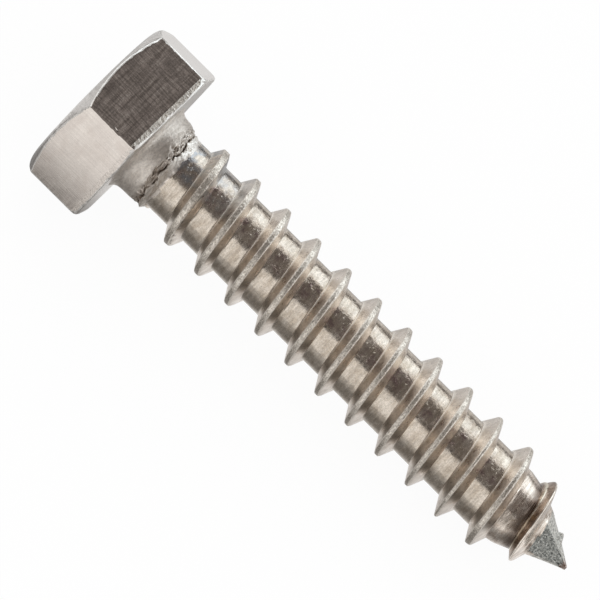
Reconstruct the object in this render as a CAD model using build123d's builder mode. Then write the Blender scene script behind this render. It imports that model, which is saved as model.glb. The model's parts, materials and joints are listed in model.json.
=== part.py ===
from build123d import *

import math
import os

# A hex lag screw of stainless steel, made as one piece: head, neck, wood thread and point.
#
# Millimetres, +Z up. The origin is the centre of the face under the head, on the screw's axis. The screw
# lies as it comes to rest on a table, on one flat of its head and on the crest of its thread, with the
# point towards +X. It is modelled upright first, with the point up, and laid down at the end.

os.makedirs("parts", exist_ok=True)

# ---- Head ----
across_flats = 12.45
head_height = 4.95
top_margin = 0.38  # from a flat in to where the chamfer would meet the top
top_chamfer_deg = 30.0
top_blend = 0.4  # length of the flatter cone that eases the chamfer into the top
bearing_edge = 0.17  # break along the six edges of the bearing face

# ---- Neck, core and point ----
length = 39.5  # from the bearing face to the tip
neck_d = 6.3  # the blank as it was before rolling
neck_length = 1.6
neck_fillet = 0.6
shoulder_length = 1.0  # where rolling draws the neck down to the core
core_d = 5.46
tip_d = 0.16
# Cones of the point from the tip up: half angle, and the radius each reaches as a share of the core's
point_cones = [(28.3, 0.7), (23.0, 0.9), (11.0, 1.0)]

# ---- Thread: right-hand, 9 turns to the inch ----
pitch = 25.4 / 9
crest_d = 7.68
flank_degs = (34.0, 25.0, 32.0)  # of the flank's thirds against the radius, from the root out
thread_start = 1.747  # height of the crest where the helix sets out, above the x axis
nose_length = 6.69  # from where the crest starts to close in on the point to the tip
crest_gap = 1.75  # from where the closing crest would meet the axis to the tip
thread_fade = 0.24  # how far short of that the thread ends
root_overlap = 0.04  # how deep the ribbon of the thread sinks into the core

# Places on the thread: turns from the start, crest height as a share of the full one, width of the crest
run_in = [(0, 0.15, 0.3), (0.25, 0.35, 0.4), (0.8, 0.7, 0.5), (1.3, 0.84, 0.3)]
last_full_turn = [(-1, 1.0, 0.14), (-0.65, 1.1, 0.06), (0, 0.93, 0.24)]
nose_crest_width = 0.1
nose_shares = (0, 0.15, 0.3, 0.45, 0.6, 0.75, 0.9, 1)  # how far along the nose its sections stand

# ---- Facets left where the blank was sheared to a point ----
# Direction around the axis, length back from the tip, and distance from the axis where they start
facets = [(30, 2.95, 1.15), (-40, 2.65, 1.2)]
facet_step_deg = 40.0  # slope of the step at the start of a facet
facet_tip = 0.04  # their distance from the axis at the tip

# ---- Worked out from those ----
neck_r = neck_d / 2
core_r = core_d / 2
tip_r = tip_d / 2
full_depth = (crest_d - core_d) / 2
fillet_waist = 1 - math.cos(math.pi / 4)  # where two cones stand in for the round of the fillet
nose_turn = (length - nose_length - thread_start) / pitch
nose_reach = nose_length - crest_gap
last_turn = nose_turn + (nose_reach - thread_fade) / pitch
top_circle_r = across_flats / 2 - top_margin
clear = across_flats  # a radius outside everything
tilt_steps = 90  # places in each turn of the crest that are tried against the table


def direction_plane(degrees, height=0.0):
    """A plane through the axis: x points out from the axis in that direction and y runs up the axis."""
    x_dir = Vector(1, 0, 0).rotate(Axis.Z, degrees)
    return Plane(origin=(0, 0, height), x_dir=x_dir, z_dir=x_dir.rotate(Axis.Z, -90))


def point_outline():
    """Radius and height of the point's corners, from the tip up to the core."""
    corners = [(tip_r, length)]
    for degrees, share in point_cones:
        radius, height = corners[-1]
        corners.append((share * core_r, height - (share * core_r - radius) / math.tan(math.radians(degrees))))
    return corners


def core_radius(height):
    """The radius of the core or the point at a height."""
    for (radius, top), (wider, bottom) in zip(point_outline(), point_outline()[1:]):
        if height > bottom:
            return radius + (wider - radius) * (top - height) / (top - bottom)
    return core_r


def nose_place(share):
    """A place on the nose, where the crest closes in on the axis along a quarter of an ellipse."""
    turn = nose_turn + share * (last_turn - nose_turn)
    along = (turn - nose_turn) * pitch / nose_reach
    crest_start = core_r + last_full_turn[-1][1] * full_depth
    crest = crest_start * math.sqrt(1 - along**2)
    width = max(nose_crest_width, last_full_turn[-1][2] * (1 - 2 * along))
    return (turn, crest, width)


def thread_section(turn, crest, width):
    """The outline of the thread at a place, cut through the axis: crest, two flanks and a sunk root."""
    height = thread_start + turn * pitch
    root = core_radius(height + pitch / 2) - root_overlap
    third = (crest - root) / len(flank_degs)
    flank = [(crest, width / 2)]
    for degrees in reversed(flank_degs):
        radius, half = flank[-1]
        flank.append((radius - third, half + third * math.tan(math.radians(degrees))))
    other_flank = [(radius, -half) for radius, half in reversed(flank)]
    with BuildSketch(direction_plane(360 * turn, height)) as section:
        with BuildLine():
            Polyline(*flank, *other_flank, close=True)
        make_face()
    return section.sketch.face()


def thread_run(places):
    """The thread between the first and the last of its places, swept along the helix."""
    first = places[0][0]
    rise = (places[-1][0] - first) * pitch
    with BuildLine() as helix:
        Helix(pitch=pitch, height=rise, radius=core_r, center=(0, 0, thread_start + first * pitch))
    path = helix.line.rotate(Axis.Z, 360 * first)
    sections = [thread_section(*place) for place in places]
    with BuildPart() as run:
        sweep(sections=sections, path=path, multisection=True, is_frenet=True)
    return run.part


def resting_tilt(places):
    """How far the point drops, with the head on one flat, until the first crest meets the table."""
    tilts = []
    for (turn_a, crest_a, width_a), (turn_b, crest_b, width_b) in zip(places, places[1:]):
        steps = math.ceil((turn_b - turn_a) * tilt_steps)
        for step in range(steps):
            share = step / steps
            turn = turn_a + share * (turn_b - turn_a)
            crest = crest_a + share * (crest_b - crest_a)
            along = thread_start + turn * pitch + (width_a + share * (width_b - width_a)) / 2
            below = -crest * math.cos(math.radians(360 * turn))
            tilts.append(math.atan2(across_flats / 2 - below, along + bearing_edge))
    return math.degrees(min(tilts))


# ---- The thread, in stretches that end where the next one starts ----
start_run = [(turn, core_r + share * full_depth, width) for turn, share, width in run_in]
sharp_run = [(nose_turn + turn, core_r + share * full_depth, width) for turn, share, width in last_full_turn]
even_run = [start_run[-1], sharp_run[0]]
nose_run = [nose_place(share) for share in nose_shares]
thread = [thread_run(places) for places in (start_run, even_run, sharp_run, nose_run)]

# ---- The screw, upright with its point up ----
with BuildPart() as upright:
    # hex head below the bearing face, with flats square to the x axis
    with BuildSketch(Plane.XY):
        RegularPolygon(radius=across_flats / 2, side_count=6, major_radius=False, rotation=30)
    extrude(amount=-head_height)
    chamfer(edges().group_by(Axis.Z)[-1], length=bearing_edge)
    # corners turned off by the chamfer on top
    with BuildSketch(Plane.XZ) as envelope:
        with BuildLine():
            chamfer_rise = (clear - top_circle_r) * math.tan(math.radians(top_chamfer_deg))
            Polyline(
                (0, 0),
                (0, -head_height),
                (top_circle_r, -head_height),
                (clear, chamfer_rise - head_height),
                (clear, 0),
                close=True,
            )
        make_face()
        chamfer(envelope.vertices().sort_by_distance((top_circle_r, -head_height))[0], length=top_blend)
    revolve(axis=Axis.Z, mode=Mode.INTERSECT)
    # neck, shoulder, core and point in one profile, rooted inside the head
    with BuildSketch(Plane.XZ):
        with BuildLine():
            Polyline(
                (0, length),
                (0, -head_height / 2),
                (neck_r + neck_fillet, -head_height / 2),
                (neck_r + neck_fillet, 0),
                (neck_r + neck_fillet * fillet_waist, neck_fillet * fillet_waist),
                (neck_r, neck_fillet),
                (neck_r, neck_length),
                (core_r, neck_length + shoulder_length),
                *reversed(point_outline()),
                close=True,
            )
        make_face()
    revolve(axis=Axis.Z)
    add(thread)
    # sheared facets on the point
    for direction, from_tip, from_axis in facets:
        start = length - from_tip
        step = (clear - from_axis) * math.tan(math.radians(facet_step_deg))
        with BuildSketch(direction_plane(direction)):
            with BuildLine():
                Polyline(
                    (clear, start - step),
                    (from_axis, start),
                    (facet_tip, length),
                    (facet_tip, length + clear),
                    (clear, length + clear),
                    close=True,
                )
            make_face()
        extrude(amount=clear, both=True, mode=Mode.SUBTRACT)

# ---- Laid down, on a flat of the head and the crest of the thread ----
tilt = resting_tilt(start_run + even_run + sharp_run + nose_run)
x_axis = Vector(0, 0, 1).rotate(Axis.Y, tilt)
z_axis = Vector(1, 0, 0).rotate(Axis.Y, tilt)
resting = Plane(origin=(0, 0, 0), x_dir=x_axis, z_dir=z_axis)
with BuildPart() as lag_screw:
    add(upright.part.moved(resting.location))
lag_screw.part.label = "lag_screw"
export_step(lag_screw.part, "parts/lag_screw.step")
print("tilt at rest", round(tilt, 3), "degrees")
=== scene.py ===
# %% [markdown]
# # A stainless hex lag screw, dressed for the shelf
# The solid model of the screw is loaded first. The dressed screw keeps inside its box, so the box is noted before
# anything is made.

# %% Load the solid model
import json
import math

import bpy
import numpy as np
from mathutils import Matrix, Vector, noise


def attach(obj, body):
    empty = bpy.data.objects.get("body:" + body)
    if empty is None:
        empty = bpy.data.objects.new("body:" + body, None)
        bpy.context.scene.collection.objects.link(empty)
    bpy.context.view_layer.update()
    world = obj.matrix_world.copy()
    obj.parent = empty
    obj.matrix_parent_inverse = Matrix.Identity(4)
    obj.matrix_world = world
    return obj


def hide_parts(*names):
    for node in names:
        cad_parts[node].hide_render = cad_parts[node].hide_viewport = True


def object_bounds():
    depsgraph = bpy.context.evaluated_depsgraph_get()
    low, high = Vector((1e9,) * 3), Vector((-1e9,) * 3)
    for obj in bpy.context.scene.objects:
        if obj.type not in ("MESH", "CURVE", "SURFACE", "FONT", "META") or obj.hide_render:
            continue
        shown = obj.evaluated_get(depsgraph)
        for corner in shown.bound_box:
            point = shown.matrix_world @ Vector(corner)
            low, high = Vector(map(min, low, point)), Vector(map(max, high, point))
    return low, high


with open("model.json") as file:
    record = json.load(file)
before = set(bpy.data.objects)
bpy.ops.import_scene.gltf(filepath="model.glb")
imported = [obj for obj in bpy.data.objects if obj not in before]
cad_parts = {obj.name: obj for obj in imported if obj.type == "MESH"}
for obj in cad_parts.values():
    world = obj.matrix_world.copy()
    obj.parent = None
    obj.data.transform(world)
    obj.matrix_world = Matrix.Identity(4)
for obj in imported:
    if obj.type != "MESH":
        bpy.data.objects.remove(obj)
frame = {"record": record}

solid_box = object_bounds()
bpy.ops.object.select_all(action="DESELECT")
print("solid box", [round(1000 * v, 2) for corner in solid_box for v in corner])

# %% [markdown]
# ## Where the screw lies
# A lag screw on a table leans: one flat of the head lies down and the crest of the thread touches further on,
# so the axis drops a little towards the point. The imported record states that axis, and three directions follow
# from it: along the screw, square to the flat that faces up, and across. The screw is modelled upright, with its
# point up, because turning and threading are simple about an upright axis. It is laid down at the end.

# %% The screw's own directions
bearing = next(m for m in frame["record"]["mounts"] if m["name"] == "bearing_face")
along = Vector(bearing["axis"]).normalized()
across = Vector((0, -1, 0))
flat_up = across.cross(along)
lay_down = Matrix((flat_up, across, along)).transposed().to_4x4()
tilt = math.asin(-along.z)
print("axis drops", round(math.degrees(tilt), 3), "degrees")

# %% [markdown]
# ## Camera
# The camera looks down on the screw from the front and from far away. The axis runs from the upper left to the
# lower right. All three directions of the camera are made from those of the screw, so the view follows it.

# %% Directions of the view
# lengths are in metres up to the head, and in millimetres while the screw is modelled
facing_deg = 24.1  # round the screw, from the flat that faces up to the side that faces the camera
roll_deg = 44.8
camera_distance = 0.352
look_along = 0.0144  # from the bearing face to the middle of the view
look_below = 0.0000445  # from the axis down to the middle of the view

facing = math.radians(facing_deg)
roll = math.radians(roll_deg)
to_camera = flat_up * math.cos(facing) + across * math.sin(facing)
upper_side = flat_up * math.sin(facing) - across * math.cos(facing)
view_right = along * math.cos(roll) + upper_side * math.sin(roll)
view_up = upper_side * math.cos(roll) - along * math.sin(roll)
look_at = along * look_along - upper_side * look_below
print("looking at", [round(v, 4) for v in look_at])

# %% Set up the camera
camera = bpy.data.objects.new("camera", bpy.data.cameras.new("camera"))
bpy.context.scene.collection.objects.link(camera)
camera.data.sensor_width = 36
camera.data.lens = 318  # long, so that head and point show at nearly one scale
camera.data.clip_start = 0.01
camera.data.clip_end = 10
turned = Matrix((view_right, view_up, to_camera)).transposed().to_4x4()
camera.matrix_world = Matrix.Translation(look_at + to_camera * camera_distance) @ turned
bpy.context.scene.camera = camera
bpy.context.scene.view_settings.view_transform = "Standard"
print("camera at", [round(v, 4) for v in camera.matrix_world.translation])

# %% [markdown]
# ## Table and light
# Bare metal shows its surroundings, so those are set out as in a studio for small bright things: a white room, a
# soft lamp low behind the screw, a dark card over it and grey paper below it, which next to the screw is a painted
# shadow. Only reflections see these.

# %% Helpers for node materials
def new_material(name):
    """A material with an empty node tree and its output."""
    material = bpy.data.materials.new(name)
    material.use_nodes = True
    material.node_tree.nodes.clear()
    output = material.node_tree.nodes.new("ShaderNodeOutputMaterial")
    return material, material.node_tree, output


def add_node(tree, kind, inputs=None, **settings):
    """A node with its settings made and its inputs set or linked."""
    node = tree.nodes.new("ShaderNode" + kind)
    for name, value in settings.items():
        setattr(node, name, value)
    for name, value in (inputs or {}).items():
        if isinstance(value, bpy.types.NodeSocket):
            tree.links.new(value, node.inputs[name])
        else:
            node.inputs[name].default_value = value
    return node


def math_node(operation, a, b=0.0):
    """The result of one sum on a socket and a number or another socket."""
    return add_node(a.id_data, "Math", {0: a, 1: b}, operation=operation).outputs[0]


def product(first, *factors):
    """A socket times other sockets or numbers."""
    for factor in factors:
        first = math_node("MULTIPLY", first, factor)
    return first


def ranged(value, low, high, to_low, to_high):
    """A value brought from one range to another, and held there."""
    inputs = {"Value": value, "From Min": low, "From Max": high, "To Min": to_low, "To Max": to_high}
    return add_node(value.id_data, "MapRange", inputs).outputs[0]


# %% The white room
room = bpy.data.worlds.new("white_room")
bpy.context.scene.world = room
room.use_nodes = True
background = room.node_tree.nodes["Background"]
background.inputs["Color"].default_value = (1, 1, 1, 1)
background.inputs["Strength"].default_value = 1
print("room", room.name)

# %% [markdown]
# The table is white paper. Part of its white is its own, for the camera and for reflections, so it joins the
# white of the room, and the rest is lit paper that keeps a faint shadow under the screw.

# %% The table
floor_height = solid_box[0].z
floor_gap = 0.00002  # so that the paper doesn't touch the lowest point
paper_glow = 0.94  # share of the white that is the paper's own

bpy.ops.mesh.primitive_plane_add(size=6, location=(0, 0, floor_height - floor_gap))
table = bpy.context.object
table.name = "table"
paper, tree, output = new_material("white_paper")
glow = add_node(tree, "Emission", {"Color": (1, 1, 1, 1), "Strength": 1.0})
lit = add_node(tree, "BsdfDiffuse", {"Color": (0.94, 0.94, 0.94, 1)})
rays = add_node(tree, "LightPath").outputs
seen = math_node("MAXIMUM", rays["Is Camera Ray"], rays["Is Glossy Ray"])
seen = math_node("MAXIMUM", seen, rays["Is Transmission Ray"])
mixed = add_node(tree, "MixShader", {0: product(seen, paper_glow), 1: lit.outputs[0], 2: glow.outputs[0]})
tree.links.new(mixed.outputs[0], output.inputs["Surface"])
table.data.materials.append(paper)
print("table at", round(1000 * floor_height, 3), "mm")

# %% [markdown]
# The cards are long strips beside the axis, because each strip then shows as one straight band along the screw.
# A strip fills a range of angles round the screw, counted from the camera towards the upper side of the view. The
# dark card has a darker strip along its lower edge, and the lamp follows above it.

# %% Helpers for the cards
axis_middle = along * 0.018


def round_the_screw(degrees):
    """The direction that far round the axis from the camera, towards the upper side of the view."""
    angle = math.radians(degrees)
    return to_camera * math.cos(angle) + upper_side * math.sin(angle)


def glowing(name, colour, strength):
    """A material that only gives light."""
    material, tree, output = new_material(name)
    glow = add_node(tree, "Emission", {"Color": (*colour, 1), "Strength": strength})
    tree.links.new(glow.outputs[0], output.inputs["Surface"])
    return material


def reflected_card(name, middle, place, material):
    """A square of side 1, turned and sized by a matrix, that shows in reflections and nowhere else."""
    bpy.ops.mesh.primitive_plane_add(size=1)
    card = bpy.context.object
    card.name = name
    card.data.transform(Matrix.Translation(middle) @ place)
    card.data.materials.append(material)
    card.visible_camera = False
    card.visible_diffuse = False
    card.visible_shadow = False
    card.visible_transmission = False
    return card


def strip(name, start_deg, end_deg, distance, length, shift, colour, strength):
    """A flat card that fills the angles between start and end, seen from the axis."""
    out = round_the_screw((start_deg + end_deg) / 2)
    width = 2 * distance * math.tan(math.radians((end_deg - start_deg) / 2))
    place = Matrix((along * length, along.cross(out) * width, out)).transposed().to_4x4()
    middle = axis_middle + along * shift + out * distance
    return reflected_card(name, middle, place, glowing(name, colour, strength))


# %% Cards and lamp
dark_card = strip("dark_card", -10, 64, 0.12, 0.26, -0.02, (1.0, 0.92, 0.88), 0.19)
dark_edge = strip("dark_edge", -10, -2, 0.115, 0.24, -0.02, (1.0, 0.9, 0.9), 0.07)
soft_lamp = strip("soft_lamp", 74, 110, 0.14, 0.9, 0, (0.9, 0.97, 1.02), 1.53)
print("strips", dark_card.name, dark_edge.name, soft_lamp.name)

# %% [markdown]
# Sheets of grey paper lie on the table in front of the screw and behind it. They give its sides the dark edges
# that set it off from a white ground, while the white strip left between them lights the faces seen nearly edge
# on. Close beside the screw their grey is also a painted shadow: it stands for the table's shade under the screw,
# as the screw's reflections see it. They fade out away from the screw.

# %% Helper for the sheets
sheet_gap = 0.00001  # between the table's lowest point and the sheets


def grey_sheet(name, from_x, to_x, stops):
    """A sheet on the table whose share of grey follows Y, by stops in millimetres."""
    first, last = stops[0][0], stops[-1][0]
    size = Matrix.Diagonal(((to_x - from_x) / 1000, (last - first) / 1000, 1, 1))
    middle = Vector(((from_x + to_x) / 2000, (first + last) / 2000, floor_height + sheet_gap))
    grey, tree, output = new_material(name)
    spot = add_node(tree, "SeparateXYZ", {0: add_node(tree, "TexCoord").outputs["Object"]})
    fade = add_node(tree, "ValToRGB", {0: ranged(spot.outputs["Y"], first / 1000, last / 1000, 0, 1)})
    fade.color_ramp.interpolation = "EASE"
    for number, (where, strength) in enumerate(stops):
        position = (where - first) / (last - first)
        elements = fade.color_ramp.elements
        stop = elements[number] if number < 2 else elements.new(position)
        stop.position = position
        stop.color = (strength, strength, strength, 1)
    clear_paper = add_node(tree, "BsdfTransparent")
    dim = add_node(tree, "Emission", {"Color": (0.95, 0.88, 0.82, 1), "Strength": 0.1})
    mixed = add_node(tree, "MixShader", {0: fade.outputs[0], 1: clear_paper.outputs[0], 2: dim.outputs[0]})
    tree.links.new(mixed.outputs[0], output.inputs["Surface"])
    return reflected_card(name, middle, size, grey)


# %% Grey paper
# painted shadow: the grey close beside the screw stands for the table's shade under it, as its reflections see it
before_the_screw = [(-75, 0), (-40, 0.5), (-20, 0.52), (-11, 0.85), (-5, 0.85), (-3, 0.5), (-1.5, 0.08)]
behind_the_screw = [
    (2, 0.15), (5, 0.4), (8, 0.5), (12, 0.25), (17, 0.22), (21, 0.5), (27, 1), (60, 0.9), (110, 0.5), (200, 0)
]
grey_paper_and_painted_shadow = grey_sheet("grey_paper_and_painted_shadow", -130, 170, before_the_screw + behind_the_screw)
head_stops = [(-118, 0), (-95, 0.06), (-84, 0.24), (-73, 0.5), (-63, 0.85), (-50, 1), (-36, 0)]
head_paper = grey_sheet("head_paper", -60, -2.5, head_stops)
print("sheets", grey_paper_and_painted_shadow.name, head_paper.name)

# %% [markdown]
# Two dark cards stand upright in front of the ends of the screw. The flanks of the thread face along the screw,
# so it is these cards that darken their lower halves.

# %% End cards
end_tone = glowing("end_card", (1.0, 0.94, 0.88), 0.24)
end_places = {"end_card_head": -0.13, "end_card_point": 0.17}
upright_card = Matrix(((0, 0, 1), (0.32, 0, 0), (0, 0.2, 0))).to_4x4()
for name, x in end_places.items():
    reflected_card(name, (x, -0.17, 0.11), upright_card, end_tone)
print("end cards at", end_places)

# %% [markdown]
# ## Head
# The head is cold-headed in a hexagonal die, and its top is then turned, which takes the corners off in arcs.
# The same is done here: a six-sided cylinder meets a turned blank, and what both fill is kept.

# %% Helpers for choosing what to shape
def only(obj):
    """Selects one object and makes it the active one."""
    bpy.ops.object.select_all(action="DESELECT")
    obj.select_set(True)
    bpy.context.view_layer.objects.active = obj


def choose(obj, mode, test):
    """Selects the faces or edges that pass a test, and leaves the object in edit mode."""
    only(obj)
    bpy.ops.object.mode_set(mode="EDIT")
    bpy.ops.mesh.select_mode(type=mode)
    bpy.ops.mesh.select_all(action="DESELECT")
    bpy.ops.object.mode_set(mode="OBJECT")
    parts = obj.data.polygons if mode == "FACE" else obj.data.edges
    count = 0
    for part in parts:
        part.select = bool(test(part))
        count += part.select
    bpy.ops.object.mode_set(mode="EDIT")
    return count


def leave_edit():
    bpy.ops.object.mode_set(mode="OBJECT")


def on_all_faces(obj, operator, **settings):
    """Runs one edit on all the faces of an object."""
    choose(obj, "FACE", lambda f: True)
    operator(**settings)
    leave_edit()


# %% Hexagon
across_flats = 12.45
head_height = 4.944
corner_radius = across_flats / 2 / math.cos(math.radians(30))
bpy.ops.mesh.primitive_cylinder_add(
    vertices=6, radius=corner_radius, depth=head_height, location=(0, 0, -head_height / 2)
)
head = bpy.context.object
head.name = "head"
bpy.ops.object.transform_apply()
print("corner radius", round(corner_radius, 3))

# %% Turned blank
top_margin = 0.38  # from a flat in to where the slope would meet the top
top_slope = math.radians(30)
top_ease = 0.34  # width of the round that eases the slope into the top

top_circle = across_flats / 2 - top_margin
blank_rise = (across_flats - top_circle) * math.tan(top_slope)
blank_middle = (0, 0, -head_height + blank_rise / 2)
bpy.ops.mesh.primitive_cone_add(
    vertices=240, radius1=top_circle, radius2=across_flats, depth=blank_rise, location=blank_middle
)
blank = bpy.context.object
bpy.ops.object.transform_apply()
choose(blank, "FACE", lambda f: f.normal.z > 0.9)
bpy.ops.mesh.extrude_region_move(TRANSFORM_OT_translate={"value": (0, 0, head_height)})
leave_edit()
circle_edges = {key for face in blank.data.polygons if face.normal.z < -0.99 for key in face.edge_keys}
choose(blank, "EDGE", lambda e: e.key in circle_edges)
bpy.ops.mesh.bevel(offset=top_ease, segments=4, affect="EDGES")
leave_edit()
print("blank faces", len(blank.data.polygons))

# %% Keep what both fill
cut = head.modifiers.new("turned", "BOOLEAN")
cut.operation = "INTERSECT"
cut.solver = "EXACT"
cut.object = blank
only(head)
bpy.ops.object.modifier_apply(modifier="turned")
bpy.data.objects.remove(blank)
print("head faces", len(head.data.polygons))

# %% [markdown]
# Real edges are never sharp. Each one is broken by a narrow rounded strip, which draws the bright line round
# every flat. Its long faces are then divided, so that the line can be nicked as handling does.

# %% Break the edges
edge_break = 0.09
sharp_from = math.radians(24)
long_from = 1.5
long_edge_cuts = 60


def face_angles(mesh):
    """The angle between the two faces at each edge."""
    sides = {}
    for face in mesh.polygons:
        for key in face.edge_keys:
            sides.setdefault(key, []).append(face.normal)
    return {key: pair[0].angle(pair[1], 0) for key, pair in sides.items() if len(pair) == 2}


angles = face_angles(head.data)
sharp = choose(head, "EDGE", lambda e: angles.get(e.key, 0) > sharp_from)
bpy.ops.mesh.bevel(offset=edge_break, segments=3, affect="EDGES", clamp_overlap=False)
leave_edit()
points = head.data.vertices
long_edges = choose(
    head, "EDGE", lambda e: (points[e.vertices[0]].co - points[e.vertices[1]].co).length > long_from
)
bpy.ops.mesh.subdivide(number_cuts=long_edge_cuts)
leave_edit()
print("sharp edges", sharp, "long edges", long_edges, "faces", len(head.data.polygons))

# %% [markdown]
# Nicks are pushed in with a noise that bites only where it is strong, so most of the edge stays even. The points
# along the border of a flat move within its plane, and those in the middle of a strip move inwards, so the flats
# stay flat and the head keeps its size. The flats' corners are rounded in the same way, and next to the bearing
# face the corners of the hexagon are turned off. One deeper nick, a chip, sits on the edge that faces the camera.

# %% Sizes of the nicks
flats_deg = [60 * n for n in range(6)]
bite_from, bite_gain, deepest_bite = 0.08, 0.3, 0.075
on_upright_edge, in_mid_strip = 0.3, 0.6  # shares of the bite that are left there
chip_reach, chip_depth, chip_push = 0.3, 0.14, 0.1
round_reach, round_depth = 0.3, 0.2
turn_off_from, turn_off_over, turn_off_depth = 6.4, 0.75, 0.1  # distances from the axis, and how much at most
edge_zone = 0.3  # height beside the bearing face where that is done


def direction(degrees):
    """The direction that far round the upright axis."""
    return Vector((math.cos(math.radians(degrees)), math.sin(math.radians(degrees)), 0))


corners = [corner_radius * direction(a + 30) for a in flats_deg]
chip_place = corners[0] + Vector((0, 0, -1.95))
lit_flat = direction(60)  # the way the flat on the lit side of the chip faces


def flat_gap(co):
    """How far a point lies inside the nearest flat."""
    return min(across_flats / 2 - co.dot(direction(a)) for a in flats_deg)


def near(distance, reach):
    """1 at no distance, fading to 0 at about twice the reach."""
    return math.exp(-((distance / reach) ** 2))


# %% Nick the edges
borders = {}
for face in head.data.polygons:
    if face.area > 5:  # the flats, the top and the bearing face
        for index in face.vertices:
            borders[index] = (face.normal.copy(), face.center.copy())
nicked = 0
for vertex in head.data.vertices:
    co = vertex.co.copy()
    from_axis = math.hypot(co.x, co.y)
    if from_axis < 5.8:  # inside all the edges
        continue
    beside_corner = min((co - corner).xy.length for corner in corners) < 0.25
    upright_edge = beside_corner and -4.2 < co.z < -edge_zone
    bite = noise.noise(co * 1.9 + Vector((3, 5, 7))) * 0.55 + noise.noise(co * 6.5) * 0.45
    depth_in = min(deepest_bite, max(0, bite - bite_from) * bite_gain) * (on_upright_edge if upright_edge else 1)
    chip = near((co - chip_place).length, chip_reach)
    turned_off = 0
    if co.z > -edge_zone:
        turned_off = turn_off_depth * max(0, (from_axis - turn_off_from) / turn_off_over)
    if vertex.index in borders:
        normal, middle = borders[vertex.index]
        depth_in += round_depth * near(min((co - corner).length for corner in corners), round_reach)
        depth_in += chip_depth * chip * (normal.x > 0.9)
        if normal.z > 0.9:
            depth_in += turned_off
        else:
            co.z -= turned_off
        depth_in += 0.014 * noise.noise(co * 12)
        inward = middle - co
        inward -= normal * inward.dot(normal)
    else:
        inward = Vector((0, 0, -head_height / 2)) - co
        depth_in *= in_mid_strip
        co -= lit_flat * chip_push * chip
        shrink = 1 - in_mid_strip * turned_off / from_axis
        co = Vector((co.x * shrink, co.y * shrink, co.z - in_mid_strip * turned_off))
    vertex.co = co + inward.normalized() * max(0, depth_in)
    nicked += depth_in > 0
print("nicked points", nicked)

# %% [markdown]
# A rough strip runs round the head next to the bearing face, where the die closed and left its flash. A cut at
# its border gives it faces of its own, for their own finish.

# %% Mark off the flash strip
flash_width = 0.47
on_all_faces(head, bpy.ops.mesh.bisect, plane_co=(0, 0, -flash_width), plane_no=(0, 0, 1))
finish_count = 16
HEAD_FLAT, HEAD_EDGE, HEAD_TOP, FLASH, BEARING = range(5)
HEAD_SIDE, SIDE_FLASH = 13, 14
near_edge = math.radians(30)  # direction of the upright edge that faces the camera
for face in head.data.polygons:
    normal, middle = face.normal, face.center
    on_flat = flat_gap(middle) < 0.004 and abs(normal.z) < 0.2
    off_near_edge = abs(math.atan2(middle.y, middle.x) - near_edge)
    if middle.z > -0.02 and normal.z > 0.9:
        face.material_index = BEARING
    elif on_flat and middle.z > -flash_width:
        face.material_index = FLASH if normal.x > 0.9 else SIDE_FLASH
    elif on_flat and face.area > 1:
        face.material_index = HEAD_FLAT if normal.x > 0.9 else HEAD_SIDE
    elif abs(normal.z) < 0.3 and off_near_edge < 0.1:
        face.material_index = HEAD_SIDE
    elif normal.z < -0.8 and face.area < 3 or face.area > 50:
        face.material_index = HEAD_TOP
    else:
        face.material_index = HEAD_EDGE
counts = [sum(f.material_index == n for f in head.data.polygons) for n in range(finish_count)]
print("faces by finish", counts)

# %% [markdown]
# ## Threaded shank
# A rolled thread is one outline carried along a helix. The outline is drawn upright as a chain of points, by
# extruding one point again and again, and the Screw modifier winds it up. Each point keeps its part in the
# outline, on the root, the flank or the crest, so every place on the thread can then be given its real height.

# %% Draw the outline
pitch = 25.4 / 9
steps_round = 200
root_parts, foot_parts, flank_parts, shoulder_parts = 5, 1, 4, 2
half_parts = root_parts + foot_parts + flank_parts + shoulder_parts + 1
outline_parts = 2 * half_parts
turns_below, turns_made = 2, 17
thread_start = 1.747  # height of the crest where the helix sets out
weld_gap = 0.002

# the outline starts as one point, for which the corners of a square are merged
bpy.ops.mesh.primitive_plane_add(size=1, location=(3, 0, 0))
shank = bpy.context.object
shank.name = "shank"
bpy.ops.object.transform_apply()
bpy.ops.object.mode_set(mode="EDIT")
bpy.ops.mesh.select_mode(type="VERT")
bpy.ops.mesh.select_all(action="SELECT")
bpy.ops.mesh.merge(type="CENTER")
bpy.ops.transform.translate(value=(0, 0, thread_start - (turns_below + 0.5) * pitch))
for part in range(outline_parts):
    bpy.ops.mesh.extrude_region_move(TRANSFORM_OT_translate={"value": (0, 0, pitch / outline_parts)})
leave_edit()
print("outline points", len(shank.data.vertices))

# %% Wind it up
wind = shank.modifiers.new("wind", "SCREW")
wind.axis = "Z"
wind.angle = 2 * math.pi
wind.screw_offset = pitch
wind.iterations = turns_made
wind.steps = steps_round
wind.render_steps = steps_round
only(shank)
bpy.ops.object.modifier_apply(modifier="wind")
on_all_faces(shank, bpy.ops.mesh.remove_doubles, threshold=weld_gap)
print("shank points", len(shank.data.vertices), "faces", len(shank.data.polygons))

# %% [markdown]
# Every point's turn and part in the outline follow from where the helix left it. From those come its place
# across the thread and its height, by tables of how the crest grows out of the neck, runs on, sharpens and
# closes in on the point. This is done in code, because no modifier changes an outline along its way.

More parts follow.
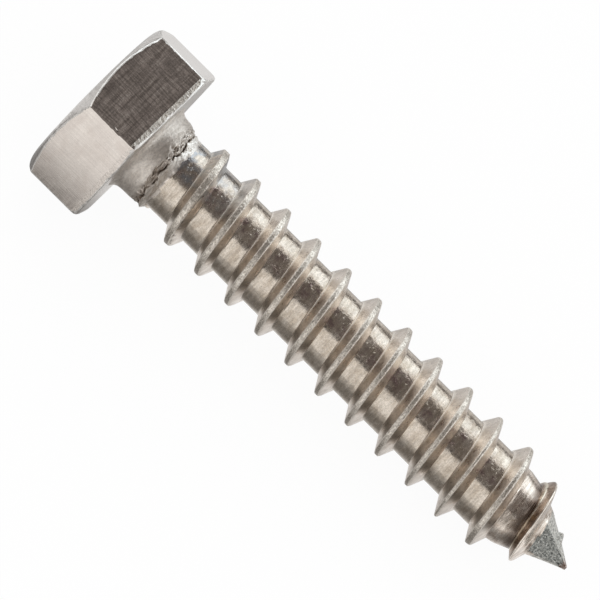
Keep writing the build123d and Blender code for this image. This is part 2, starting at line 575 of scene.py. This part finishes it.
# %% Sizes along the thread
core_radius = 2.73
neck_radius = 3.15
neck_flare, flare_reach = 0.5, 0.22  # how far the neck opens at the head, and how soon that fades
neck_ends = [(0.9, 2.42), (2.4, 2.72)]  # where the neck runs down to the core, upper and lower side
screw_length = 39.5
point_heights = [28.2, 33.4, 34.8, 36.1, screw_length]
point_radii = [core_radius, core_radius, 2.46, 1.91, 0.13]
nose_turn, last_turn = 11.007, 12.672  # where the crest starts to close in on the point, and where it ends
nose_reach = 4.94  # from there to where it would meet the axis
crest_turns = [0.05, 0.32, 0.55, 0.8, 1.3, 4.0, 9.0, 10.0, 10.36, nose_turn]
crest_depths = [0.0, 0.16, 0.55, 0.81, 0.94, 0.98, 1.08, 1.11, 1.21, 1.03]
crest_widths = [0.2, 0.26, 0.37, 0.42, 0.3, 0.25, 0.2, 0.09, 0.06, 0.2]
nose_widths = [(nose_turn, 11.25, 11.55, 12.6), (0.2, 0.34, 0.05, 0.03)]  # turns and widths on the nose
upper_angle = math.radians(facing_deg) - math.pi / 2  # round the screw, the upper side of the view
flank_spread = 0.575  # half width gained for each unit of depth
shoulder_share = 0.09  # of the depth, on each side of the crest
narrowest_root = 0.25  # half the width that is left to the root at least
foot_width, foot_rise = 0.045, 0.035  # the fillet at the foot of a flank
foot_lean, more_below = 0.08, 0.12  # how much nearer to its crest the foot is on the point's side
mesh = shank.data


def lowness(angle):
    """0 on the upper side of the view, rising to 1 on the lower side."""
    return (1 - np.cos(angle - upper_angle)) / 2


def between_sides(places, angle):
    """Values that change from those of the upper side to those of the lower side."""
    return [upper + (lower - upper) * lowness(angle) for upper, lower in zip(*places)]


def body_radius(height, angle):
    """The radius of fillet, neck, shoulder, core and point, without the thread."""
    neck = neck_radius + neck_flare * np.exp(-np.maximum(height, 0) / flare_reach)
    starts, ends = between_sides(neck_ends, angle)
    down = np.clip((height - starts) / (ends - starts), 0, 1)
    upper_part = neck + (core_radius - neck_radius) * (3 * down**2 - 2 * down**3)
    return np.where(height < 20, upper_part, np.interp(height, point_heights, point_radii))


def read_points():
    """The x, y and z of the shank's points."""
    values = np.empty(3 * len(mesh.vertices))
    mesh.vertices.foreach_get("co", values)
    return values.reshape(-1, 3).T


# %% Depth and width of the thread at each point
x, y, z = read_points()
angle = np.mod(np.arctan2(y, x), 2 * math.pi)
angle[angle > 2 * math.pi - 1e-4] = 0
parts_up = (z - thread_start) / pitch - angle / (2 * math.pi) + 0.5
parts_up = np.rint(parts_up * outline_parts).astype(int)
turn_no, part = np.divmod(parts_up, outline_parts)
turn = turn_no + angle / (2 * math.pi)

side = np.where(part < half_parts, -1.0, 1.0)
inward = half_parts - np.abs(part - half_parts)  # parts counted from the middle of the root to the crest
depth = np.interp(turn, crest_turns, crest_depths)
width = np.interp(turn, crest_turns, crest_widths)
nose_share = np.clip((turn - nose_turn) * pitch / nose_reach, 0, 1)
on_nose = turn > nose_turn
nose_crest = (core_radius + crest_depths[-1]) * np.sqrt(1 - nose_share**2)
crest_height = thread_start + turn * pitch
depth = np.where(on_nose, np.clip(nose_crest - body_radius(crest_height, angle), 0, 2), depth)
width = np.where(on_nose, np.interp(turn, nose_widths[0], nose_widths[1]), width)
depth = np.where(turn > last_turn, 0, depth)
print("turns", turn.min().round(2), "to", turn.max().round(2), "deepest", depth.max().round(2))

# %% Place and height of each point
shoulder = shoulder_share * np.clip(depth, 0.05, 1)
half_crest = np.maximum(width / 2, 0.02)
shoulder_foot = half_crest + shoulder
foot = shoulder_foot + flank_spread * np.maximum(depth - 1.2 * shoulder, 0.05)
under = np.clip(-np.cos(angle - upper_angle), 0, 1) ** 2
foot = np.minimum(foot, pitch / 2 - narrowest_root) - (side > 0) * (foot_lean + more_below * under)

foot_top = foot_rise * np.minimum(depth, 1)
flank_top = depth - 1.1 * shoulder
shoulder_top = flank_top + 0.92 * (depth - flank_top)
# for each stretch of the outline its parts, and the place and height where it ends, from root to crest
stretches = [
    (root_parts, foot + foot_width, 0),
    (foot_parts, foot, foot_top),
    (flank_parts, shoulder_foot, flank_top),
    (shoulder_parts, half_crest, shoulder_top),
    (1, 0, depth),
]
offset, rise = pitch / 2, 0
offset_reached, rise_reached, parts_reached = offset, rise, 0
for parts, offset_end, rise_end in stretches:
    share = np.clip((inward - parts_reached) / parts, 0, 1)
    rounded = share * (2 - share) if parts == shoulder_parts else share
    offset = offset + (offset_end - offset_reached) * share
    rise = rise + (rise_end - rise_reached) * rounded
    offset_reached, rise_reached, parts_reached = offset_end, rise_end, parts_reached + parts
foot_level = root_parts + foot_parts
flank_level = foot_level + flank_parts
rise = np.clip(rise, 0, None)
no_thread = np.clip((0.25 - turn) / 0.2, 0, 1)
offset += no_thread * (pitch / 2 * (1 - inward / half_parts) - offset)  # even rows on the plain neck

height = crest_height + side * offset
radius = body_radius(height, angle) + rise
print("radius", radius.min().round(3), "to", radius.max().round(3))

# %% [markdown]
# The blank was sheared to a point before it was threaded, which left two flat facets there. A facet takes off
# all that stands proud of its plane, so each point near the tip keeps the smaller of the two radii.

# %% Shear the point
facets = [(30, 2.95, 1.15), (-40, 2.65, 1.2)]  # direction, length back from the tip, distance from the axis
facet_at_tip = 0.04  # distance from the axis at the tip
facet_step = math.radians(50)  # of the step at the start of a facet, against the axis
edge_on = 0.05  # a facet reaches no further round than this cosine
facet_no = np.zeros(len(turn), int)
round_deg = np.degrees(np.where(angle > math.pi, angle - 2 * math.pi, angle))
flank_end = 36.57 + 0.0056 * round_deg  # where the last flank runs out, counted up the screw
for number, (facet_deg, from_tip, off_axis) in enumerate(facets, 1):
    start = screw_length - from_tip
    plane = facet_at_tip + (off_axis - facet_at_tip) * (screw_length - height) / from_tip
    plane = np.where(height < start, off_axis + (start - height) / math.tan(facet_step), plane)
    facing_it = np.cos(angle - math.radians(facet_deg))
    limit = np.where(facing_it > edge_on, plane / np.maximum(facing_it, edge_on), np.inf)
    cut_here = (limit < radius) & (height > flank_end)
    facet_no = np.where(cut_here, number, facet_no)
    radius = np.where(cut_here, np.maximum(limit, 0.02), radius)
print("points on facets", [int((facet_no == n).sum()) for n in (1, 2)])

# %% [markdown]
# The points move to their places, and each keeps its part, its turn and its facet as numbers on the mesh. The
# numbers stay true when faces are divided, so the neck can be given a finer mesh for what comes next.

# %% Set the points and keep their numbers
def keep(**numbers):
    """Keeps numbers for the points on the mesh, each kind under its name."""
    for name, values in numbers.items():
        layer = mesh.attributes.new(name, "FLOAT", "POINT")
        layer.data.foreach_set("value", values.astype(np.float32))


def move_points(x, y, z):
    """Puts the shank's points in new places."""
    mesh.vertices.foreach_set("co", np.column_stack((x, y, z)).ravel())
    mesh.update()


keep(level=inward, turn=turn, facet=facet_no, side=side)
move_points(radius * np.cos(angle), radius * np.sin(angle), height)
made_finer = choose(shank, "FACE", lambda f: 0.55 < f.center.z < 2.7)
bpy.ops.mesh.subdivide(number_cuts=1)
leave_edit()
print("faces made finer", made_finer, "now", len(mesh.polygons))


def kept(name):
    """The numbers kept on the mesh under a name."""
    values = np.empty(len(mesh.vertices), np.float32)
    mesh.attributes[name].data.foreach_get("value", values)
    return values


# %% [markdown]
# Rolling starts where neck and core meet, and there the metal is churned up in a ragged band that leans round the
# neck. One deep fold winds along it. On the head's side of the fold the metal is pushed up in fine wrinkles, and
# on the thread's side it lies in flatter flakes. Shallow laps cross both, along the winding lines where a noise
# passes through zero, and layers of noise raise lumps between them. The edge of the first crest is torn as well.
# How deep the cracks are, for the painted shade in them, and the flakes are kept on the points, for their finish.

# %% Sizes of the churned band
band_places = [(1.84, 0.66), (2.2, 0.5)]  # middle and half height, on the upper and the lower side
neck_zone = 3.4  # height that the band stays under
lump_size, chip_size, grain_size = 0.15, 0.09, 0.006
lap_depth = 0.04
fold_depth, fold_width = 0.14, 0.06
wrinkle_depth, wrinkle_reach = 0.085, 0.36
wrinkle_turning = 34  # radians for each millimetre
crest_roughness = 0.016
torn_turn, torn_reach, torn_depth = 1.08, 0.42, 0.15  # reach in turns


def held(value):
    """A value held between 0 and 1."""
    return min(1, max(0, value))


# %% Churn the metal where rolling starts
x, y, height = read_points()
angle = np.arctan2(y, x)
radius = np.hypot(x, y)
radius = np.where(height < 0.9, body_radius(height, angle), radius)  # the finer mesh follows the flare again
level, turn, side = kept("level"), kept("turn"), kept("side")
low = lowness(angle)
band_middle, band_reach = between_sides(band_places, angle)
band, relief, cracked, flake = (np.zeros(len(angle)) for _ in range(4))
for n in range(len(angle)):
    ring = Vector((3.0 * math.cos(angle[n]), 3.0 * math.sin(angle[n]), 0))
    if height[n] < neck_zone:
        wander = 0.16 * noise.noise(ring * 0.9) + 0.1 * noise.noise(ring * 3.1)
        off_middle = (height[n] - band_middle[n] - wander) / band_reach[n]
        band[n] = math.exp(-(off_middle**6))
        spot = ring + Vector((0, 0, height[n] * 2.8 - 6 * low[n]))
        lump = noise.turbulence(spot * 1.4, 2, False) - 0.5
        chip = noise.noise(spot * 3.0)
        lap_here = near(noise.noise(spot * 0.75), 0.035)
        lap_here += 0.7 * near(noise.noise(spot * 1.3 + Vector((7, 1, 4))), 0.045)
        off_fold = height[n] - band_middle[n] + 0.05
        off_fold += -0.2 * noise.noise(ring * 1.1) - 0.13 * noise.noise(ring * 3.9)
        fold = near(off_fold, fold_width) * held(0.85 + 1.4 * noise.noise(ring * 1.9))
        wrinkle = near(off_fold + wrinkle_reach, wrinkle_reach)
        wrinkle *= max(0, math.sin(off_fold * wrinkle_turning + 5 * noise.noise(ring * 1.6)))
        wrinkle *= held(0.65 + 1.6 * noise.noise(spot * 2.1))
        groove = lap_depth * min(lap_here, 1) + fold_depth * fold + wrinkle_depth * wrinkle
        cracked[n] = band[n] * groove
        flake[n] = band[n] * held(off_fold / 0.1)
        relief[n] = (band[n] - 0.65 * flake[n]) * (lump_size * lump + chip_size * chip)
        relief[n] += grain_size * noise.noise(spot * 5) - cracked[n]
    elif level[n] >= flank_level:
        relief[n] = crest_roughness * noise.noise((ring + Vector((0, 0, height[n]))) * 4.0)
# painted shade: the deeper the cracks, the darker their colour
pit = np.clip((cracked - 0.03) / 0.06, 0, 1)
print("relief", relief.min().round(3), "to", relief.max().round(3))

# %% Tear the edge of the first crest
torn = (side > 0) * np.exp(-(((level - flank_level - 0.3) / 0.9) ** 2))
torn = torn * np.exp(-(((turn - torn_turn) / torn_reach) ** 4))
for n in np.flatnonzero(torn > 0.05):
    spot = Vector((3.5 * math.cos(angle[n]), 3.5 * math.sin(angle[n]), height[n]))
    torn[n] *= held(0.6 + 2.2 * noise.noise(spot * 3.3))
radius = radius + relief - torn_depth * torn
# the tear gets painted shade as well
pit = np.maximum(pit, torn)
print("torn points", int((torn > 0.5).sum()))

# %% [markdown]
# The tip itself is bent a little to one side, a burr of sheared metal stands beside it, and along the foot of the
# last turn lies a thin lap where the dies closed.

# %% Bend the tip, raise the burr and the lap
bend_start, tip_bend = 36.8, 0.24
burr_place, burr_height = 37.84, 0.36
lap_turns = (11.75, 12.25)
bend = np.clip((height - bend_start) / (screw_length - bend_start), 0, 1) ** 1.5 * tip_bend
burr = burr_height * np.exp(-(((height - burr_place) / 0.2) ** 4))
burr = burr * np.exp(-((low / 0.05) ** 2))
lap = np.exp(-((level - root_parts - 2) ** 2) / 0.3) * (side < 0)
lap = lap * (turn > lap_turns[0]) * (turn < lap_turns[1])
radius = radius + burr + (0.14 - 0.09 * low) * lap
move_points(
    radius * np.cos(angle) - bend * math.cos(upper_angle),
    radius * np.sin(angle) - bend * math.sin(upper_angle),
    height,
)
keep(pit=pit, band=band, flake=flake, lap=lap)
print("burr stands", burr.max().round(3), "mm proud, lap points", int((lap > 0.5).sum()))

# %% [markdown]
# Each face gets the finish of the place it lies on. The two halves of a groove belong to the crests beside it, one
# turn apart, so the last groove starts a turn earlier where it lies on the point's side of a crest.

# %% Finish numbers for the faces of the shank
NECK, ROOT, FLANK, CREST, NOSE_FLANK, FACET, LIGHT_FACET, NIB = range(5, 13)
LAST_ROOT = 15
nib_start, point_start = 39.05, 37.2
last_crest, last_flank, last_groove = 11.5, 11.62, 11.6  # turns from which the last finishes hold
facet_here = kept("facet")
finish = []
for face in mesh.polygons:
    ids = list(face.vertices)
    face_level = level[ids].mean()
    face_height = height[ids].mean()
    face_turn = turn[ids].mean()
    on_point_side = side[ids].mean() > 0
    on_facets = [(np.abs(facet_here[ids] - n) < 0.1).sum() >= 2 for n in (1, 2)]
    if face_height > nib_start:
        finish.append(NIB)
    elif on_facets[0]:
        finish.append(FACET)
    elif on_facets[1] or face_height > point_start:
        finish.append(LIGHT_FACET)
    elif face_height < 2 or band[ids].mean() > 0.4 and face_height < 3:
        finish.append(NECK)
    elif face_level < root_parts + 0.6:
        finish.append(LAST_ROOT if face_turn > last_groove - on_point_side else ROOT)
    elif face_level >= flank_level:
        finish.append(CREST if face_turn < last_crest else LAST_ROOT)
    elif face_turn <= last_flank:
        finish.append(FLANK)
    else:
        finish.append(NOSE_FLANK if side[ids].mean() < 0 else LAST_ROOT)
mesh.polygons.foreach_set("material_index", finish)
print("faces by finish", np.bincount(finish, minlength=finish_count).tolist())

# %% Cut the shank to length
root_in_head = (0, 0, -0.3)
blunt_tip = (0, 0, screw_length - 0.01)
cut_level = {"plane_no": (0, 0, 1), "use_fill": True}
on_all_faces(shank, bpy.ops.mesh.bisect, plane_co=root_in_head, clear_inner=True, **cut_level)
on_all_faces(shank, bpy.ops.mesh.bisect, plane_co=blunt_tip, clear_outer=True, **cut_level)
on_all_faces(shank, bpy.ops.mesh.normals_make_consistent, inside=False)
print("shank faces", len(shank.data.polygons))

# %% [markdown]
# ## Finishes
# One steel shows many finishes here, by what last touched it. Each is the same metal with its own roughness, its
# own grain and a slight tint. Grain that runs round the shank needs numbers that run round it too, so the place
# on the screw is turned into a length along the axis and a length round it.

# %% Helpers for the metals
around_per_radian = 3.0  # millimetres round the shank


def on_screw(tree):
    """A plain place on the screw, a place as (along, round, out), and the first two of those, in millimetres."""
    here = add_node(tree, "TexCoord").outputs["Object"]
    in_mm = add_node(tree, "Mapping", {"Vector": here, "Scale": (1000, 1000, 1000)}).outputs[0]
    plain = add_node(tree, "Mapping", {"Vector": in_mm, "Rotation": (0, -tilt, 0)}).outputs[0]
    parts = add_node(tree, "SeparateXYZ", {0: plain})
    along_it = parts.outputs["X"]
    turned = math_node("ARCTAN2", parts.outputs["Y"], parts.outputs["Z"])
    around = product(turned, around_per_radian)
    out = product(math_node("ABSOLUTE", parts.outputs["Z"]), 0.2)
    rolled = add_node(tree, "CombineXYZ", {0: along_it, 1: around, 2: out}).outputs[0]
    return plain, rolled, along_it, around


def mesh_number(tree, name):
    """The number kept on the mesh under a name."""
    return add_node(tree, "Attribute", attribute_name=name).outputs["Fac"]


def stretched_noise(where, scale, detail=3.0, roughness=0.6):
    """Noise with its own scale along each direction."""
    tree = where.id_data
    spot = add_node(tree, "Mapping", {"Vector": where, "Scale": scale}).outputs[0]
    inputs = {"Vector": spot, "Scale": 1.0, "Detail": detail, "Roughness": roughness}
    return add_node(tree, "TexNoise", inputs).outputs["Fac"]


def blend_colours(share, first, second):
    """A colour between two, each a socket or plain red, green and blue."""
    first, second = ((*colour, 1) if isinstance(colour, tuple) else colour for colour in (first, second))
    return add_node(share.id_data, "Mix", {0: share, 6: first, 7: second}, data_type="RGBA").outputs[2]


def scaled_colour(colour, share):
    """A colour made darker or brighter."""
    return add_node(colour.id_data, "VectorMath", {0: colour, "Scale": share}, operation="SCALE").outputs[0]


def distance_from(value, middle):
    """How far a value is from a middle, either way."""
    return math_node("ABSOLUTE", math_node("SUBTRACT", value, middle))


# %% [markdown]
# Each kind of mark has one colour, and so have the painted shade and highlights. Most marks are on the burnished
# metal of root and flank: it is blue-grey near the head, stained and scuffed mostly in the band just above the
# middle of the view, smoother towards the lower side, and darkened by painted shade at the bottom.

# %% The burnt turn and the churned band
# the browns for hollows and cracks are painted shade
pit_brown, burnt_brown, crack_shade_brown = (0.16, 0.125, 0.1), (0.17, 0.125, 0.1), (0.22, 0.175, 0.14)
# both browns on this line are painted shade: one on the lower side of the churned band, one at the bottom of
# burnished metal
lower_shade_brown, shade_brown = (0.42, 0.35, 0.29), (0.1, 0.09, 0.075)
blue_grey = (0.41, 0.43, 0.455)
# the flake tint is the flakes' dull white, and also a painted highlight on the upper side of the view
lap_tint, line_tint, flake_and_highlight_tint = (0.93, 0.85, 0.72), (0.96, 0.91, 0.83), (1.0, 0.97, 0.92)


def burnt_share(tree):
    """How burnt the last turn is: on the head's side, from the root up to below the crest."""
    level_here = mesh_number(tree, "level")
    near_foot = ranged(level_here, 0.5, 4, 0, 0.85)
    below_crest = ranged(level_here, flank_level, flank_level + 1, 1, 0)
    far_on = ranged(mesh_number(tree, "turn"), 11.45, 11.75, 0, 1)
    head_side = ranged(mesh_number(tree, "side"), -0.9, -0.1, 1, 0)
    return product(near_foot, far_on, head_side, below_crest)


def churned(tree, where, around, tint):
    """The churned band's tint, with painted shade in its cracks and on its lower side, the height of its chips, and
    how pale its flakes are, partly their own dull white and partly a painted highlight on the upper side of the
    view.
    """
    band_here, pit_here = mesh_number(tree, "band"), mesh_number(tree, "pit")
    chips = stretched_noise(where, (2.2, 1.5, 1), roughness=0.55)
    off_crack = distance_from(stretched_noise(where, (4.5, 0.8, 1)), 0.5)
    crack = product(ranged(off_crack, 0.004, 0.014, 0.5, 0), band_here)
    flakes_and_highlight = product(ranged(chips, 0.34, 0.4, 0.25, 1), mesh_number(tree, "flake"))
    # painted highlight: the pale flakes fade out towards the lower side of the view
    flakes_and_highlight = product(flakes_and_highlight, ranged(around, -1.7, 0.6, 0.2, 1))
    # painted shade: the churned band is darkened towards the lower side of the view
    lower_shade = product(ranged(around, -0.4, -1.5, 0, 0.45), band_here)
    # painted shade in the cracks: thin dark lines drawn by noise, and the deeper cracks and the tear
    dark = math_node("MAXIMUM", crack, ranged(pit_here, 0.2, 1, 0, 0.7))
    for share, colour in ((lower_shade, lower_shade_brown), (flakes_and_highlight, flake_and_highlight_tint), (dark, crack_shade_brown)):
        tint = blend_colours(share, tint, colour)
    return tint, product(chips, band_here), flakes_and_highlight


# %% The steel
def steel(name, colours, tint_scale, roughness, grain, bumps, stain=None, pits=None, lines=None, line=None,
          speck=0.12, underside=0.1, burnished=False, worked=False, burnt=False):
    """Bare steel whose grain is plain or runs round the shank.

    Bumps are (scale, height in mm), and pits are one sparse bump. A stain is (colour, scale, share), fine lines
    are (scale, darkest, brightest), and one pale line along the thread is (level, reach, share); on burnished
    metal that line is a painted highlight. Speck is how far the grit moves the tint, and underside how much
    painted shade darkens burnished metal at the bottom.
    """
    material, tree, output = new_material(name)
    plain, rolled, along_it, around = on_screw(tree)
    where = rolled if grain == "round" else plain
    patches = stretched_noise(where, tint_scale)
    tint = blend_colours(ranged(patches, 0.35, 0.65, 0, 1), *colours)
    # painted shade in the cracks of the churned band and in the tear on the first crest
    if grain == "round":
        tint = blend_colours(ranged(mesh_number(tree, "pit"), 0.25, 0.8, 0, 0.8), tint, pit_brown)
    if burnished:
        upper_half = ranged(around, -1.35, -0.95, 0, 1)
        worn = product(upper_half, ranged(around, 0.05, 0.5, 1, 0.12))
        near_head = ranged(along_it, 3.6, 8.5, 0.85, 0)
        patch = ranged(stretched_noise(where, (1.3, 1.1, 1)), 0.38, 0.54, 0.1, 1)
        tint = blend_colours(product(near_head, upper_half, patch), tint, blue_grey)
        tint = blend_colours(ranged(mesh_number(tree, "lap"), 0.3, 0.8, 0, 1), tint, lap_tint)
    if lines:
        scale, darkest, brightest = lines
        drawn = stretched_noise(where, scale, detail=2.0)
        tint = scaled_colour(tint, ranged(drawn, 0.36, 0.64, darkest, brightest))
    if stain:
        colour, scale, share = stain
        spread = ranged(stretched_noise(where, scale), 0.48, 0.66, 0, share)
        tint = blend_colours(product(spread, worn) if burnished else spread, tint, colour)
    grit = stretched_noise(where, (9, 8, 9), detail=2.0)
    tint = scaled_colour(tint, ranged(grit, 0.32, 0.68, 1 - speck, 1 + speck))
    # painted shade: burnished metal is darkened towards the bottom of the view
    if burnished:
        low = ranged(around, -2.2, -2.8, 0, underside)
        low = product(low, ranged(around, -3.3, -3.9, 1, 0))
        tint = blend_colours(low, tint, shade_brown)
    if burnt:
        tint = blend_colours(burnt_share(tree), tint, burnt_brown)
    pale = None
    if line:
        line_level, reach, share = line
        pale = ranged(distance_from(mesh_number(tree, "level"), line_level), 0.2, reach, share, 0)
        # painted highlight: on burnished metal the pale line is kept to the head's side and fades towards the bottom
        # of the view
        if burnished:
            head_side = ranged(mesh_number(tree, "side"), -0.9, -0.1, 1, 0)
            pale = product(pale, head_side, ranged(around, -2.6, -1, 0.1, 1))
        tint = blend_colours(pale, tint, line_tint)
    dull = ranged(stretched_noise(where, [2.3 * s for s in tint_scale]), 0.35, 0.65, *roughness)
    heights = [(stretched_noise(where, scale), tall) for scale, tall in bumps]
    if burnished:
        calm = ranged(around, -1.25, -0.2, 0.3, 1)
        heights = [(product(high, calm), tall) for high, tall in heights]
    if pits:
        scale, deep = pits
        scuffs = ranged(stretched_noise(where, scale), 0.58, 0.68, 0, 1)
        heights.append((product(scuffs, worn) if burnished else scuffs, -deep))
    if worked:
        tint, chips, flakes_and_highlight = churned(tree, where, around, tint)
        dull = math_node("SUBTRACT", dull, product(flakes_and_highlight, 0.1))
        pale = product(flakes_and_highlight, 0.3)
        heights.append((chips, 0.07))
    shader = add_node(tree, "BsdfPrincipled", {"Base Color": tint, "Metallic": 1.0, "Roughness": dull})
    if pale is not None:
        tree.links.new(ranged(pale, 0, 1, 1, 0), shader.inputs["Metallic"])
    normal = None
    for high, tall in heights:
        inputs = {"Height": high, "Distance": abs(tall) / 1000}
        if normal is not None:
            inputs["Normal"] = normal
        normal = add_node(tree, "Bump", inputs, invert=tall < 0).outputs[0]
    tree.links.new(normal, shader.inputs["Normal"])
    tree.links.new(shader.outputs[0], output.inputs["Surface"])
    return material


# %% [markdown]
# The flats of the head are brushed both ways: fine lines run along the screw, and broader bands across it. Both
# are noise drawn out in one direction, once in the tint and once more as shallow bumps.

# %% Finishes of the head
metals = [None] * finish_count
metals[HEAD_FLAT] = steel(
    "brushed_flat", [(0.45, 0.4, 0.365), (0.86, 0.785, 0.725)], (5, 0.35, 0.35), (0.14, 0.2), "plain",
    [((1.0, 9, 9), 0.0018), ((8, 0.6, 0.6), 0.0014), ((9, 9, 9), 0.0009)],
    stain=((0.5, 0.45, 0.42), (1.2, 0.5, 0.5), 0.35), lines=((1.2, 11, 11), 0.66, 1.24), speck=0.2,
)
metals[HEAD_SIDE] = steel(
    "smooth_flat", [(0.72, 0.655, 0.6), (0.78, 0.715, 0.655)], (1.2, 0.5, 0.5), (0.09, 0.12), "plain",
    [((0.5, 12, 12), 0.0005), ((2.2, 2.2, 2.2), 0.0008)],
    stain=((0.64, 0.565, 0.51), (0.9, 0.7, 0.7), 0.5), lines=((0.35, 12, 12), 0.94, 1.04), speck=0.035,
)
metals[SIDE_FLASH] = steel(
    "smooth_flash", [(0.62, 0.56, 0.51), (0.76, 0.695, 0.635)], (3, 5, 5), (0.1, 0.16), "plain",
    [((2.5, 5, 5), 0.0025), ((8, 8, 8), 0.0015)],
)
metals[HEAD_EDGE] = steel(
    "broken_edge", [(0.84, 0.81, 0.77), (0.93, 0.9, 0.86)], (2, 2, 2), (0.3, 0.42), "plain", [((8, 8, 8), 0.005)]
)
metals[HEAD_TOP] = steel(
    "turned_top", [(0.68, 0.65, 0.62), (0.77, 0.74, 0.71)], (2, 2, 2), (0.28, 0.38), "plain", [((12, 12, 12), 0.003)]
)
metals[FLASH] = steel(
    "flash_strip", [(0.52, 0.46, 0.4), (0.95, 0.89, 0.81)], (5, 5, 5), (0.3, 0.44), "plain",
    [((4, 5, 5), 0.13), ((9, 9, 9), 0.03)], pits=((5, 6, 6), 0.07), lines=((1.5, 7, 7), 0.75, 1.1),
)
metals[BEARING] = steel(
    "bearing_face", [(0.7, 0.66, 0.62), (0.78, 0.74, 0.7)], (2, 2, 2), (0.3, 0.45), "plain", [((10, 10, 10), 0.006)]
)
print("finishes", [m.name for m in metals if m])

# %% [markdown]
# On the shank the neck is matt from cold heading, with the churned band in it. The root is burnished by the
# dies, the flanks are satin, and the crests are grainy, because the dies never closed on them. Fine bright lines
# run along the edges of the crests, where the dies rubbed, and along the foot of the flanks on the head's side,
# where they are a painted highlight that fades towards the bottom of the view. The last turn and the point are
# stained from heat and grey where they were sheared.

# %% Finishes of the shank
metals[NECK] = steel(
    "neck", [(0.63, 0.57, 0.51), (0.86, 0.8, 0.735)], (4, 1.4, 1), (0.42, 0.54), "round",
    [((8, 7, 1), 0.026), ((3, 1.6, 1), 0.018)], worked=True,
)
metals[ROOT] = steel(
    "burnished_root", [(0.53, 0.45, 0.365), (0.74, 0.66, 0.57)], (2.0, 0.9, 1), (0.15, 0.29), "round",
    [((5, 1.4, 1), 0.015), ((1.5, 1.2, 1), 0.045), ((8, 0.6, 1), 0.007)],
    stain=((0.34, 0.245, 0.235), (1.6, 1.3, 1), 0.85), pits=((4, 2.2, 1), 0.016),
    lines=((7, 0.6, 1), 0.86, 1.07), speck=0.14, burnished=True,
)
metals[LAST_ROOT] = steel(
    "last_root", [(0.73, 0.635, 0.55), (0.95, 0.855, 0.765)], (6, 0.6, 1), (0.19, 0.31), "round",
    [((9, 0.5, 1), 0.01), ((4, 1.5, 1), 0.02)], stain=((0.42, 0.3, 0.22), (2.2, 1.5, 1), 0.5),
    lines=((9, 0.4, 1), 0.8, 1.1), line=(half_parts, 1.7, 0.75), burnt=True,
)
# the pale line at the flanks' foot is a painted highlight, and underside paints shade on their lower side
metals[FLANK] = steel(
    "flank", [(0.75, 0.67, 0.59), (0.93, 0.85, 0.77)], (3, 1, 1), (0.26, 0.4), "round",
    [((6, 3, 1), 0.008)], stain=((0.56, 0.495, 0.435), (2.4, 1.6, 1), 0.4),
    line=(foot_level, 0.9, 0.55), underside=0.5, burnished=True,
)
metals[CREST] = steel(
    "rolled_crest", [(0.49, 0.435, 0.37), (1.0, 0.925, 0.83)], (12, 10, 1), (0.28, 0.42), "round",
    [((8, 7, 1), 0.03), ((16, 14, 1), 0.012)], pits=((7, 6, 1), 0.02), line=(flank_level + 0.8, 0.9, 0.42),
)
metals[NOSE_FLANK] = steel(
    "last_turn", [(0.25, 0.175, 0.125), (0.5, 0.395, 0.32)], (2.4, 0.9, 1), (0.2, 0.34), "round",
    [((6, 2, 1), 0.012)], stain=((0.42, 0.28, 0.16), (2, 2, 1), 0.6), lines=((5, 1, 1), 0.85, 1.06),
    burnished=True,
)
metals[FACET] = steel(
    "sheared_facet", [(0.17, 0.18, 0.17), (0.79, 0.79, 0.745)], (8, 8, 8), (0.36, 0.48), "plain",
    [((7, 7, 7), 0.09), ((12, 12, 12), 0.04)], pits=((6, 6, 6), 0.06),
)
metals[LIGHT_FACET] = steel(
    "light_facet", [(0.37, 0.36, 0.325), (1.0, 0.97, 0.91)], (6, 6, 6), (0.36, 0.5), "plain",
    [((4.5, 4.5, 4.5), 0.12), ((10, 10, 10), 0.05)], pits=((6, 6, 6), 0.07),
)
metals[NIB] = steel(
    "tip_nib", [(0.2, 0.12, 0.09), (0.7, 0.6, 0.54)], (4, 4, 4), (0.3, 0.4), "plain", [((7, 7, 7), 0.03)]
)
for metal in metals:
    head.data.materials.append(metal)
    shank.data.materials.append(metal)
print("finishes", [m.name for m in metals])

# %% [markdown]
# ## One piece
# Head and shank are one piece of steel, so they are joined, brought to metres and laid down. The object itself
# stays at the origin with its place in its mesh.

# %% Join and lay down
smooth_below = math.radians(38)
for part_made in (head, shank):
    only(part_made)
    bpy.ops.object.shade_smooth_by_angle(angle=smooth_below)
for face in head.data.polygons:
    face.use_smooth = face.area < 1  # the flats stay flat
only(shank)
head.select_set(True)
bpy.ops.object.join()
screw = shank
screw.name = "lag_screw_body"
screw.data.transform(lay_down @ Matrix.Scale(0.001, 4))
print("triangles", sum(len(f.vertices) - 2 for f in screw.data.polygons))
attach(screw, "root")
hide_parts("lag_screw")
